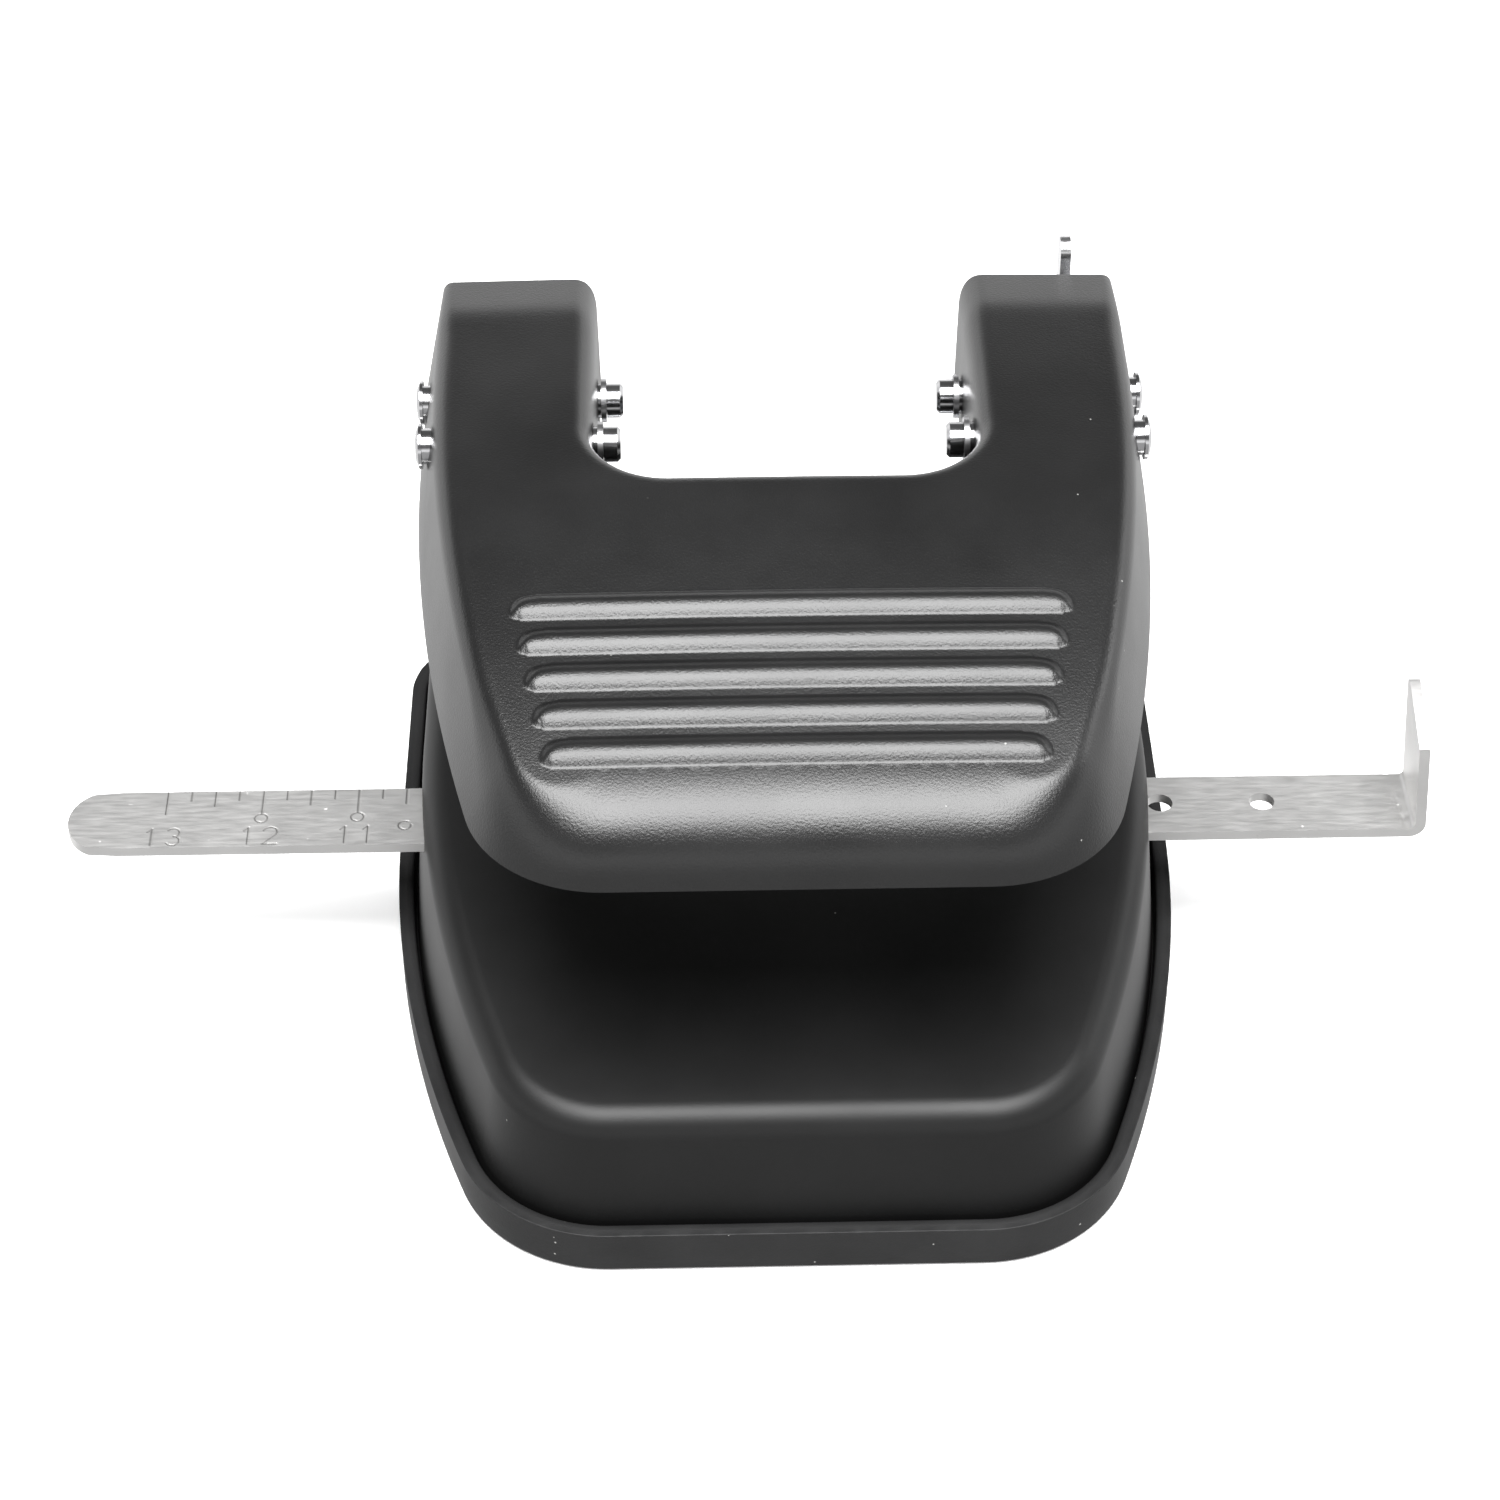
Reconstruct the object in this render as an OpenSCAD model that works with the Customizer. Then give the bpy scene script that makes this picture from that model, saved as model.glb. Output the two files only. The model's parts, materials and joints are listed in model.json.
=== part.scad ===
// Two-hole desk paper punch: rubber pan, pressed steel housing, two punch heads, U-shaped press handle,
// sliding paper guide bar and a push-in handle latch.
// Axes: +X right, +Y to the rear, +Z up. The origin is the centre of the pan's underside. Millimetres.

/* [Punching] */
// Distance between the two punched holes
hole_pitch = 69.85; // [69:0.05:71]
// Diameter of a punched hole
punch_d = 7.14; // [6:0.02:7.2]
// Distance from the paper's edge stop to the hole centres
edge_distance = 12.7; // [12:0.1:13]
// Height of the slit that the paper goes into
throat_h = 4.6; // [4.4:0.1:4.8]

/* [Base] */
// Overall width of the rubber pan
base_w = 105.4; // [104:0.2:106]
// Overall length of the rubber pan
base_l = 117; // [116:0.5:120]
// Height of the flat rear deck above the table
deck_z = 26.5; // [26.5:0.1:27]
// Thickness of the rubber pan's rim
rim_t = 2.0; // [1.8:0.1:2.0]
// Height of the rubber pan's rim
rim_h = 6.5; // [5:0.1:8]

/* [Handle] */
// Half width of the handle's lower edge across the two legs
handle_half_w = 47.5; // [47.5:0.1:48]
// Clear width between the two legs
leg_gap = 48.0; // [47.6:0.1:48.2]
// Thickness of the pressed steel
sheet_t = 1.2; // [1:0.1:1.3]
// Number of embossed ridges
ridge_count = 5; // [3:1:5]
// Distance from one ridge to the next
ridge_pitch = 5.3; // [5:0.1:5.4]

/* [Guide bar] */
// Width of the sliding guide bar
bar_w = 11; // [10:0.2:11]
// Thickness of the guide bar and of its end tab
bar_t = 1.4; // [1.2:0.1:1.5]
// Length of the bar from its round end to the end tab
bar_l = 178; // [160:1:180]

/* [Hidden] */
$fn = 64;
fit = 0.05;                              // radial running clearance of pins and punches
head_x = hole_pitch / 2;                 // centre of a punch head
punch_y = 19.5;                          // punch axis
stop_y = punch_y + edge_distance;        // paper stop: front of the frame's column
pivot_y = 38.5;                          // handle hinge
pivot_z = 63;
drive_z = 69.8;                          // drive pin at rest, straight above the punch
drive_low = 62.54;                       // its height with the handle fully down
drive_drift = 1.2;                       // its forward movement on the way
pin_r = 2.3;

// Pan and housing
pan_floor = 2;
rim_gap = 0.3;
foot_inset = rim_t + rim_gap;            // housing wall foot, inside the rim
base_front = -base_l / 2;
deck_front_drop = 4.6;                   // the deck is this much lower at its front edge
deck_bend_y = -14;                       // in front of this line it slopes down
deck_front_y = -54;
deck_under = deck_z - sheet_t;
wall_draft = 1.9;
wall_edge = 3.2;                         // rounding where the wall meets the deck
chip_hole_r = 3.9;
rivet_r = 1.5;
rivet_hole_r = 1.55;
rivet_head_r = 2.3;
rivet_head_h = 1;

// Head frame, folded from one sheet: two cheeks, a rear web and two feet
cheek_out = 7.6;                         // half width over the cheeks
cheek_t = 2;
cheek_in = cheek_out - cheek_t;
frame_z = deck_z + throat_h;             // underside of the upper arm
frame_front = 11;
frame_back = 44;
cheek_ear_r = 4.6;                       // round ear about the hinge
web_t = 2.5;
web_top = 66.5;
foot_t = 2.5;
foot_in = 10;                            // inner foot's reach towards the middle
foot_back = 6;                           // rear foot's reach
pin_slot_r = 3.4;                        // half width of the drive pin's slot in a cheek
frame_rivets = [[-13.4, 35.2], [-13.4, 41], [0, 47.2]];  // from the head's centre line
guide_h = 7.9;
guide_l = 15;

// Punch and die
punch_r = punch_d / 2;
punch_tip = frame_z + 0.5;
punch_head_r = 5.2;
punch_flat = 3;                          // half width over the head's two flats
punch_top = drive_z + 3.8;
head_base = 63.5;
washer_t = 1;
washer_r = 5.2;
pin_play = 0.2;
die_t = 2.5;
die_left = 17.2;                         // the die plate's reach from the head's centre line
die_right = 7.6;
die_front = 12;
die_rear = 49;
spring_wire = 1.2;
spring_r = 4.45;                         // mean radius of the coil
spring_turns = 6.5;

// Handle
lip_z = 58.4;
lip_front = -52;
roof_front = -50.7;
handle_rear = 49.6;
roof_top = 77.2;
arch_y = 24;                             // the roof is level here and arches down to the front
arch_d = 520;                            // twice the arch's radius
rear_bend_y = 39.5;                      // behind this line the roof slopes down to the rear
rear_slope = 0.2;
front_from_y = -25;                      // here the side shape starts to change into the front shape
front_run = 25;
bend_reach = 8.4;                          // reach of the front bend onto the roof
skirt_bend = [0.18, 0.85];               // bent share of the skirt's height, along the legs and in front
roof_bend = [0.31, 1];                   // share of bend_reach, along the legs and in front
notch_front = 5.9;
notch_r = 9.5;
ridge_first_y = -19.3;
ridge_half_l = 32.6;
ridge_r = 2.3;
pin_inner_end = 20.8;
pin_head_r = 2.9;
pin_head_h = 0.8;
pivot_head_x = 47.25;                    // seat of the domed outer heads
drive_head_x = 46.1;
clip_x = 23;
clip_t = 0.7;
clip_r = 2.9;
groove_r = 1.7;

// Guide bar
bar_y = 2.2;
bar_top = 22;
bar_under = bar_top - bar_t;
bar_end_x = 83;                          // inner face of the end tab
tab_front_h = 13.9;                      // tab height over the bar, front and rear
tab_rear_h = 17.6;
bar_hole_r = 1.7;
bar_hole_x = [49.8, 63.4];
slot_clear = 0.6;
slot_back = 2.6;                         // the housing's slot runs on behind the bar
strap_w = 10;
strap_t = 1;
strap_half = bar_w / 2 + 2.2;            // half length over the strap's bridge
strap_foot = 4.1;                        // reach of its two feet
strap_rivet_y = [for (s = [-1, 1]) bar_y + s * (strap_half + strap_foot / 2)];
strap_rivet_head_r = 2;

// Latch
latch_x = head_x + 4.1;
latch_t = 1.4;
latch_travel = 5;
latch_low = 58.9;
latch_high = 67.2;
latch_nose_y = 21.9;
latch_nose_z = drive_low + pin_r + 0.2;
latch_tab_y = 58;
latch_tab_r = 2;
latch_tab_top = 75;

// ---- outlines ----

// Points on an arc about c, from angle a0 to a1 in n steps.
function arc(c, r, a0, a1, n) = [for (i = [0:n]) let (a = a0 + (a1 - a0) * i / n)
    c + r * [cos(a), sin(a)]];
function but_last(pts) = [for (i = [0:len(pts) - 2]) pts[i]];

// Mirror a run of right-hand points to the left, in reverse order, to close an outline.
function mirrored(pts) = [for (i = [len(pts) - 1:-1:0]) [-pts[i].x, pts[i].y]];

// Outline with bowed sides that narrow to the front: half width w, sides of radius bow_r about
// a centre at bow_y, then round front and rear corners. It is moved inwards by d.
function bowed_outline(w, bow_r, bow_y, front, corner_r, rear, rear_r, d = 0) = let (
    bow_c = [w - bow_r, bow_y],
    corner_y = front + corner_r,
    corner_c = [bow_c.x + sqrt(pow(bow_r - corner_r, 2) - pow(bow_y - corner_y, 2)), corner_y],
    bow_end = atan2(corner_c.y - bow_c.y, corner_c.x - bow_c.x),
    right = concat(but_last(arc(corner_c, corner_r - d, -90, bow_end, 8)),
                   arc(bow_c, bow_r - d, bow_end, 0, 8),
                   arc([w - rear_r, rear - rear_r], rear_r - d, 0, 90, 6)))
    concat(right, mirrored(right));

function base_outline(d) = bowed_outline(base_w / 2, 170, 14, base_front, 20, -base_front, 12, d);
function lip_outline(d, rear) = bowed_outline(handle_half_w, 290, 30.8, lip_front, 17, rear, 3, d);
function roof_outline(d, rear) = bowed_outline(handle_half_w - 3.2, 262, 30, roof_front, 14, rear, 7, d);

// ---- shells ----

// Closed solid through equal rings of points; the end caps run between mirrored points.
module loft(rings) {
    n = len(rings[0]);
    last = (len(rings) - 1) * n;
    polyhedron(
        points = [for (ring = rings) each ring],
        faces = concat(
            [for (k = [0:len(rings) - 2], i = [0:n - 1]) let (j = (i + 1) % n)
                each [[k * n + i, (k + 1) * n + i, (k + 1) * n + j],
                      [k * n + i, (k + 1) * n + j, k * n + j]]],
            [for (i = [0:n / 2 - 2]) each [[i, i + 1, n - 1 - i], [i + 1, n - 2 - i, n - 1 - i]]],
            [for (i = [0:n / 2 - 2]) let (a = last + i, b = last + n - 1 - i)
                each [[a, b, a + 1], [a + 1, b, b - 1]]]),
        convexity = 4);
}

// Height of the deck at y: flat at the rear, sloping gently down to the front.
function deck_h(y) = deck_z - max(0, deck_bend_y - y) * deck_front_drop / (deck_bend_y - deck_front_y);

// Housing body with every face moved inwards by t, standing on height foot.
module housing_body(t, foot) {
    loft(concat(
        [[for (p = base_outline(foot_inset + t)) [p.x, p.y, foot]]],
        [for (a = [0:18:90])
            [for (p = base_outline(foot_inset + t + wall_draft + wall_edge * (1 - cos(a))))
                [p.x, p.y, deck_h(p.y) - t - wall_edge * (1 - sin(a))]]]));
}

// Height of the handle's roof at y: a shallow arch, falling to the front and at the rear end.
function roof_h(y) = roof_top
    - (y < arch_y ? pow(arch_y - y, 2) / arch_d : max(0, y - rear_bend_y) * rear_slope);

// Share of the front shape at y: 0 along the legs, 1 at the front lip.
function front_share(y) = let (u = min(1, max(0, (front_from_y - y) / front_run))) u * u * (3 - 2 * u);

// A value between its size along the legs and its size at the front lip.
function leg_to_front(pair, y) = pair[0] + (pair[1] - pair[0]) * front_share(y);

// Handle body with every face moved inwards by t. The skirt rises straight, then bends onto the
// arched roof: tightly along the legs and in a long sweep at the front.
module handle_body(t, foot, rear) {
    lip = lip_outline(t, rear);
    crease = roof_outline(t, rear);
    inner = roof_outline(t + bend_reach, rear);
    top = [for (p = crease) [p.x, p.y, roof_h(p.y) - t]];
    skirt = [for (i = [0:len(lip) - 1])
        let (e = [lip[i].x, lip[i].y, lip_z]) top[i] + (e - top[i]) * leg_to_front(skirt_bend, e.y)];
    flat = [for (i = [0:len(lip) - 1])
        let (p = crease[i] + (inner[i] - crease[i]) * leg_to_front(roof_bend, lip[i].y))
        [p.x, p.y, roof_h(p.y) - t]];
    loft(concat(
        [[for (p = lip) [p.x, p.y, foot]], [for (p = lip) [p.x, p.y, lip_z]]],
        [for (u = [0:0.2:1])
            [for (i = [0:len(lip) - 1])
                skirt[i] * pow(1 - u, 2) + top[i] * 2 * u * (1 - u) + flat[i] * pow(u, 2)]]));
}

// Mirror right-hand geometry to the left head where side is -1.
module sided(side) mirror([side < 0 ? 1 : 0, 0, 0]) children();

// Cylinder lying along X, from x0 to x1.
module rod(x0, x1, y, z, r) translate([x0, y, z]) rotate([0, 90, 0]) cylinder(r = r, h = x1 - x0);

// Plate drawn in the Y-Z plane, from x0 to x1.
module yz_plate(x0, x1) translate([x0, 0, 0]) rotate([90, 0, 90]) linear_extrude(x1 - x0) children();

// Box between two corners.
module block(a, b) translate(a) cube(b - a);

// Hole for a rivet's shank through everything near the deck.
module rivet_hole(x, y) translate([x, y, deck_z - 6]) cylinder(r = rivet_hole_r, h = 12);

// ---- base ----

module base_pan() color("#242426") difference() {
    linear_extrude(rim_h) polygon(base_outline(0));
    translate([0, 0, pan_floor]) linear_extrude(rim_h) polygon(base_outline(rim_t));
}

module base_housing() color("#2b2b2d") difference() {
    housing_body(0, pan_floor);
    housing_body(sheet_t, pan_floor - 1);
    for (x = [-base_w / 2, 40])
        block([x, bar_y - bar_w / 2 - slot_clear, bar_under - slot_clear],
              [x + base_w / 2 - 40, bar_y + bar_w / 2 + slot_back, bar_top + slot_clear]);
    for (side = [-1, 1]) {
        translate([side * head_x, punch_y, deck_under - 1]) cylinder(r = chip_hole_r, h = sheet_t + 2);
        for (p = frame_rivets) rivet_hole(side * (head_x + p.x), p.y);
    }
    for (y = strap_rivet_y) rivet_hole(0, y);
}

module cheek_profile() difference() {
    union() {
        polygon([[frame_front, frame_z], [stop_y, frame_z], [stop_y, deck_z], [frame_back, deck_z],
                 [frame_back, pivot_z - 2], [pivot_y, pivot_z + cheek_ear_r], [24, 65], [22.3, 64.4],
                 [frame_front, 58]]);
        translate([pivot_y, pivot_z]) circle(cheek_ear_r);
    }
    translate([pivot_y, pivot_z]) circle(pin_r + fit);
    translate([punch_y - drive_drift / 2, drive_low + 0.3]) {
        circle(pin_slot_r);
        translate([-pin_slot_r, 0]) square([2 * pin_slot_r, 10]);
    }
}

module head_frame(side) color("#8f9296") sided(side) difference() {
    union() {
        for (x = [-cheek_out, cheek_in])
            yz_plate(head_x + x, head_x + x + cheek_t) cheek_profile();
        block([head_x - cheek_in, frame_back - web_t, deck_z], [head_x + cheek_in, frame_back, web_top]);
        block([head_x - cheek_out - foot_in, stop_y, deck_z],
              [head_x - cheek_out, frame_back, deck_z + foot_t]);
        block([head_x - cheek_out, frame_back, deck_z],
              [head_x + cheek_out, frame_back + foot_back, deck_z + foot_t]);
    }
    block([latch_x - latch_t / 2 - 0.25, frame_back - web_t - 1, latch_low - 0.2],
          [latch_x + latch_t / 2 + 0.25, frame_back + 1, web_top + 1]);
    for (p = frame_rivets) rivet_hole(head_x + p.x, p.y);
}

module guide_block(side) color("#a9abad") sided(side) difference() {
    block([head_x - cheek_in, punch_y - guide_l / 2, frame_z],
          [head_x + cheek_in, punch_y + guide_l / 2, frame_z + guide_h]);
    translate([head_x, punch_y, frame_z - 1]) cylinder(r = punch_r + fit, h = guide_h + 2);
}

module die_plate(side) color("#9a9c9f") sided(side) difference() {
    block([head_x - die_left, die_front, deck_under - die_t], [head_x + die_right, die_rear, deck_under]);
    translate([head_x, punch_y, deck_under - die_t - 1]) cylinder(r = punch_r + fit, h = die_t + 2);
    for (p = frame_rivets) rivet_hole(head_x + p.x, p.y);
}

// Lower part of a rivet standing along Z: its head below z0 and its shank up to z1.
module rivet_shank(z0, z1, head_r) {
    translate([0, 0, z0 - rivet_head_h]) cylinder(r1 = head_r - 0.5, r2 = head_r, h = rivet_head_h);
    translate([0, 0, z0]) cylinder(r = rivet_r, h = z1 - z0);
}

// Rivet with a head at both ends.
module rivet(z0, z1) {
    rivet_shank(z0, z1, rivet_head_r);
    translate([0, 0, z1]) cylinder(r1 = rivet_head_r, r2 = rivet_head_r - 0.5, h = rivet_head_h);
}

module frame_rivets_group(side) color("#c9cacc") sided(side) for (p = frame_rivets)
    translate([head_x + p.x, p.y, 0]) rivet(deck_under - die_t, deck_z + foot_t);

// ---- punches ----

module punch(side) color("#c4c6c8") sided(side) translate([head_x, punch_y, 0]) difference() {
    union() {
        translate([0, 0, punch_tip]) cylinder(r = punch_r, h = head_base - punch_tip);
        intersection() {
            translate([0, 0, head_base]) cylinder(r = punch_head_r, h = punch_top - head_base);
            block([-punch_flat, -punch_head_r - 1, head_base], [punch_flat, punch_head_r + 1, punch_top]);
        }
    }
    block([-punch_flat - 1, -drive_drift - pin_r - pin_play, drive_z - pin_r - pin_play],
          [punch_flat + 1, pin_r + pin_play, drive_z + pin_r + pin_play]);
    translate([0, 0, punch_tip - 4]) rotate([45, 0, 0]) cube([2 * punch_r + 1, 7.2, 7.2], center = true);
}

module spring_washer(side) color("#b8babc") sided(side) translate([head_x, punch_y, head_base - washer_t])
    difference() {
        cylinder(r = washer_r, h = washer_t);
        translate([0, 0, -1]) cylinder(r = punch_r + fit, h = washer_t + 2);
    }

// Helical wire from z0 to z1 around the punch.
module coil(z0, z1) {
    sides = 8;
    steps = spring_turns * 16;
    w = spring_wire / 2;
    rise = z1 - z0 - spring_wire - 0.1;
    ring = [for (k = [0:steps])
        let (a = 360 * spring_turns * k / steps, z = z0 + w + 0.05 + rise * k / steps)
        for (s = [0:sides - 1]) let (b = 360 * s / sides, r = spring_r + w * cos(b))
            [r * cos(a), r * sin(a), z + w * sin(b)]];
    polyhedron(points = ring, faces = concat(
        [for (k = [0:steps - 1], s = [0:sides - 1]) let (q = (s + 1) % sides, a = k * sides, b = a + sides)
            each [[a + s, b + s, b + q], [a + s, b + q, a + q]]],
        [[for (s = [0:sides - 1]) s]],
        [[for (s = [sides - 1:-1:0]) steps * sides + s]]));
}

module return_spring(side) color("#9fa2a6") sided(side) translate([head_x, punch_y, 0])
    coil(frame_z + guide_h, head_base - washer_t);

// ---- pins ----

// Cross pin of a leg: domed outer head, shank, groove for the retaining clip.
module cross_pin(head_seat, y, z) difference() {
    union() {
        rod(pin_inner_end + 0.4, head_seat, y, z, pin_r);
        translate([pin_inner_end, y, z]) rotate([0, 90, 0]) cylinder(r1 = pin_r - 0.4, r2 = pin_r, h = 0.4);
        translate([head_seat, y, z]) rotate([0, 90, 0]) {
            cylinder(r = pin_head_r, h = pin_head_h / 2);
            translate([0, 0, pin_head_h / 2])
                cylinder(r1 = pin_head_r, r2 = pin_head_r - 0.9, h = pin_head_h / 2);
        }
    }
    difference() {
        rod(clip_x - 0.05, clip_x + clip_t + 0.05, y, z, pin_r + 1);
        rod(clip_x - 1, clip_x + 2, y, z, groove_r);
    }
}

// Retaining clip: an open ring in the pin's groove.
module e_clip(y, z) difference() {
    rod(clip_x, clip_x + clip_t, y, z, clip_r);
    rod(clip_x - 1, clip_x + 2, y, z, groove_r + 0.02);
    block([clip_x - 1, y - groove_r * 0.7, z - clip_r - 1], [clip_x + 2, y + groove_r * 0.7, z]);
}

module pivot_pin(side) color("#d6d7d8") sided(side) cross_pin(pivot_head_x, pivot_y, pivot_z);
module drive_pin(side) color("#d6d7d8") sided(side) cross_pin(drive_head_x, punch_y, drive_z);
module pivot_clips() color("#a5a7a9") for (side = [-1, 1]) sided(side) e_clip(pivot_y, pivot_z);
module drive_clips() color("#a5a7a9") for (side = [-1, 1]) sided(side) e_clip(punch_y, drive_z);

// ---- handle ----

// Gap between the legs in plan, widened by d, with round inner corners.
module notch(d) translate([0, 0, lip_z - 20]) linear_extrude(60) {
    w = leg_gap / 2 + d;
    for (x = [-1, 1]) translate([x * (leg_gap / 2 - notch_r), notch_front + notch_r]) circle(notch_r + d);
    translate([-leg_gap / 2 + notch_r, notch_front - d]) square([leg_gap - 2 * notch_r, 60]);
    translate([-w, notch_front + notch_r]) square([2 * w, 60]);
}

// One embossed ridge across the roof, with ball ends.
module ridge(i) {
    y = ridge_first_y - i * ridge_pitch;
    half = ridge_half_l - i;
    z = roof_h(y) - ridge_r + 1;
    rod(-half + ridge_r, half - ridge_r, y, z, ridge_r);
    for (x = [-1, 1]) translate([x * (half - ridge_r), y, z]) sphere(r = ridge_r);
}

module handle() color("#303032") difference() {
    union() {
        handle_body(0, lip_z - 0.01, handle_rear + 10);
        for (i = [0:ridge_count - 1]) ridge(i);
    }
    difference() {
        handle_body(sheet_t, lip_z - 5, handle_rear + 10);
        notch(sheet_t);
    }
    notch(0);
    block([-handle_half_w - 1, handle_rear, lip_z - 5], [handle_half_w + 1, handle_rear + 12, roof_top + 1]);
    for (side = [-1, 1]) sided(side) {
        rod(leg_gap / 2 - 5, handle_half_w + 5, pivot_y, pivot_z, pin_r + fit);
        rod(leg_gap / 2 - 5, handle_half_w + 5, punch_y, drive_z, pin_r + fit);
    }
}

// ---- guide bar ----

module guide_bar() color("#c8c9cb") difference() {
    union() {
        translate([0, 0, bar_under]) linear_extrude(bar_t) {
            translate([bar_end_x - bar_l + bar_w / 2, bar_y]) circle(bar_w / 2);
            translate([bar_end_x - bar_l + bar_w / 2, bar_y - bar_w / 2])
                square([bar_l - bar_w / 2 + bar_t, bar_w]);
        }
        yz_plate(bar_end_x, bar_end_x + bar_t)
            polygon([[bar_y - bar_w / 2, bar_under], [bar_y + bar_w / 2, bar_under],
                     [bar_y + bar_w / 2, bar_top + tab_rear_h - 1.5],
                     [bar_y + bar_w / 2 - 1.5, bar_top + tab_rear_h - 0.4],
                     [bar_y - bar_w / 2, bar_top + tab_front_h]]);
    }
    for (x = bar_hole_x) translate([x, bar_y + 0.4, bar_under - 1]) cylinder(r = bar_hole_r, h = bar_t + 2);
}

// Spring strap under the deck that holds and clicks the bar.
module bar_clip() color("#a2a5a9") {
    y0 = bar_y - strap_half;
    y1 = bar_y + strap_half;
    z0 = bar_under - 1 - strap_t;
    difference() {
        union() {
            block([-strap_w / 2, y0, z0], [strap_w / 2, y1, deck_under]);
            block([-strap_w / 2, y0 - strap_foot, deck_under - strap_t],
                  [strap_w / 2, y1 + strap_foot, deck_under]);
        }
        block([-strap_w, y0 + strap_t, z0 + strap_t], [strap_w, y1 - strap_t, deck_under + 1]);
        for (y = strap_rivet_y) rivet_hole(0, y);
    }
}

// Rivets flush with the deck, so that paper slides over them.
module bar_clip_rivets() color("#c9cacc") for (y = strap_rivet_y)
    translate([0, y, 0]) rivet_shank(deck_under - strap_t, deck_z, strap_rivet_head_r);

// ---- latch ----

// Flat strip that slides on the right pivot pin; its nose goes over the lowered drive pin.
module lock_latch() color("#b9bbbd") yz_plate(latch_x - latch_t / 2, latch_x + latch_t / 2) difference() {
    union() {
        polygon([[latch_nose_y, latch_nose_z], [32, latch_nose_z], [33.5, latch_low],
                 [latch_tab_y + latch_tab_r, latch_low],
                 [latch_tab_y + latch_tab_r, latch_tab_top - latch_tab_r],
                 [latch_tab_y - latch_tab_r, latch_tab_top - latch_tab_r],
                 [latch_tab_y - latch_tab_r, latch_high], [latch_nose_y + 1, latch_high]]);
        translate([latch_tab_y, latch_tab_top - latch_tab_r]) circle(latch_tab_r);
    }
    for (y = [pivot_y, pivot_y + latch_travel]) translate([y, pivot_z]) circle(pin_r + 0.15);
    translate([pivot_y, pivot_z - pin_r - 0.15]) square([latch_travel, 2 * pin_r + 0.3]);
}

base_pan();
base_housing();
frame_rivets_group(-1);  // frame_rivets_left
frame_rivets_group(1);  // frame_rivets_right
head_frame(-1);  // head_frame_left
head_frame(1);  // head_frame_right
guide_block(-1);  // guide_block_left
guide_block(1);  // guide_block_right
die_plate(-1);  // die_plate_left
die_plate(1);  // die_plate_right
punch(-1);  // punch_left
punch(1);  // punch_right
spring_washer(-1);  // spring_washer_left
spring_washer(1);  // spring_washer_right
return_spring(-1);  // return_spring_left
return_spring(1);  // return_spring_right
pivot_pin(-1);  // pivot_pin_left
pivot_pin(1);  // pivot_pin_right
pivot_clips();
drive_pin(-1);  // drive_pin_left
drive_pin(1);  // drive_pin_right
drive_clips();
handle();
guide_bar();
bar_clip();
bar_clip_rivets();
lock_latch();
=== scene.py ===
"""Two-hole desk punch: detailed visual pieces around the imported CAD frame. Metres, +Z up."""
import json
import math

import bmesh
import bpy
from mathutils import Matrix, Vector
from mathutils.geometry import delaunay_2d_cdt


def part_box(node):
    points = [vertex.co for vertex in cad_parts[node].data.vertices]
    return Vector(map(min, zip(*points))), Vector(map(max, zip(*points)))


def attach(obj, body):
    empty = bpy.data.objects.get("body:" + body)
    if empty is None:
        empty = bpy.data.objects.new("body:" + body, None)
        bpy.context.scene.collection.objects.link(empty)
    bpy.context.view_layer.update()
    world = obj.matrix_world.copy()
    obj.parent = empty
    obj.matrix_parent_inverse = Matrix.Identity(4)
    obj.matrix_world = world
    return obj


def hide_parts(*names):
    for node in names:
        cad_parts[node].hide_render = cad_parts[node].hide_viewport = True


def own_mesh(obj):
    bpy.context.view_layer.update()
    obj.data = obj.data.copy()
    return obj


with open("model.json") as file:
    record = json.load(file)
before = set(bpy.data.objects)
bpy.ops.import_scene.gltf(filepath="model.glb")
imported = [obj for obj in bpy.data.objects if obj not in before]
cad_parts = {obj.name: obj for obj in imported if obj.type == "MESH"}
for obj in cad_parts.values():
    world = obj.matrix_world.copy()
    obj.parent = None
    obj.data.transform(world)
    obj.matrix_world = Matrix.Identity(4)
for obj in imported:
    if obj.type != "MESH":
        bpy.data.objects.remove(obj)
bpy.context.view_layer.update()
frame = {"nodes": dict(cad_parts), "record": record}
nodes = frame["nodes"]

MM = 0.001
SHEET = 1.2                                   # pressed steel thickness, mm


def box_mm(node):
    """Lowest and highest corner of a CAD node, in millimetres."""
    lo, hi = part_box(node)
    return lo / MM, hi / MM


# Driving dimensions in millimetres, taken from the frame where the frame has them.
PAN_LO, PAN_HI = box_mm("base_pan")
HOUSE_LO, HOUSE_HI = box_mm("base_housing")
HANDLE_LO, HANDLE_HI = box_mm("handle")
BAR_LO, BAR_HI = box_mm("guide_bar")
SPRING_LO, SPRING_HI = box_mm("return_spring_right")
PIVOT_LO, PIVOT_HI = box_mm("pivot_pin_right")
DRIVE_LO, DRIVE_HI = box_mm("drive_pin_right")
PIVOT = (PIVOT_LO + PIVOT_HI) / 2
DRIVE = (DRIVE_LO + DRIVE_HI) / 2
HEAD_X = (SPRING_LO.x + SPRING_HI.x) / 2
PUNCH_Y = (SPRING_LO.y + SPRING_HI.y) / 2
PIN_R = 2.3

# ---------------------------------------------------------------- curves in plan


def arc(cx, cy, r, a0, a1, n):
    """Points on an arc, angles in degrees, both ends included."""
    return [(cx + r * math.cos(math.radians(a0 + (a1 - a0) * i / n)),
             cy + r * math.sin(math.radians(a0 + (a1 - a0) * i / n))) for i in range(n + 1)]


def straight(p, q, n):
    """Points from p to q, without p."""
    return [(p[0] + (q[0] - p[0]) * i / n, p[1] + (q[1] - p[1]) * i / n) for i in range(1, n + 1)]


def mirrored(points):
    """The points mirrored to the left, in reverse order."""
    return [(-x, y) for x, y in reversed(points)]


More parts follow.
